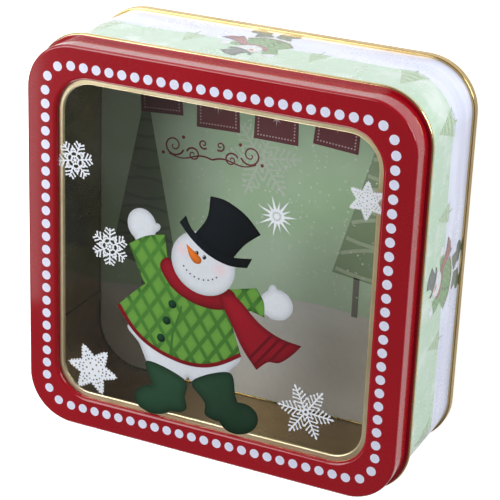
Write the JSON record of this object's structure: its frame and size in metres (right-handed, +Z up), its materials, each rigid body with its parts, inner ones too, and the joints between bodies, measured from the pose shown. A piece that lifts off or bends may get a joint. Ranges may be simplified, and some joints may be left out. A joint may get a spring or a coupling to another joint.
{
  "type": "cookie tin",
  "caption": "Square rounded-corner cookie tin with a slip lid, a clear window clamped in the lid, a seamed base and a printed card inside.",
  "frame": {"origin": "middle of the base's underside, where the tin stands", "axes": "+Z up through the lid; +Y towards the top of the window's picture; +X to its right as seen through the lid"},
  "size_m": [0.1984, 0.1984, 0.074],
  "materials": {
    "printed_wall": "satin printed tinplate: pale green sky over pale snow outside, gold lacquer inside",
    "gold_tinplate": "glossy gold lacquer on tinplate",
    "red_tinplate": "glossy deep red with white dots",
    "clear_sheet": "clear plastic sheet with opaque print",
    "printed_card": "matt printed card"
  },
  "bodies": {
    "tin": {"body_wall": "printed_wall", "base_plate": "gold_tinplate", "backdrop_card": "printed_card"},
    "lid": {"lid_shell": "red_tinplate", "window_sheet": "clear_sheet", "window_retaining_ring": "gold_tinplate"}
  },
  "joints": [
    {"name": "lid_lift", "type": "slide", "parent": "tin", "child": "lid", "axis": [0, 0, 1], "range_m": [0, 0.1]}
  ]
}
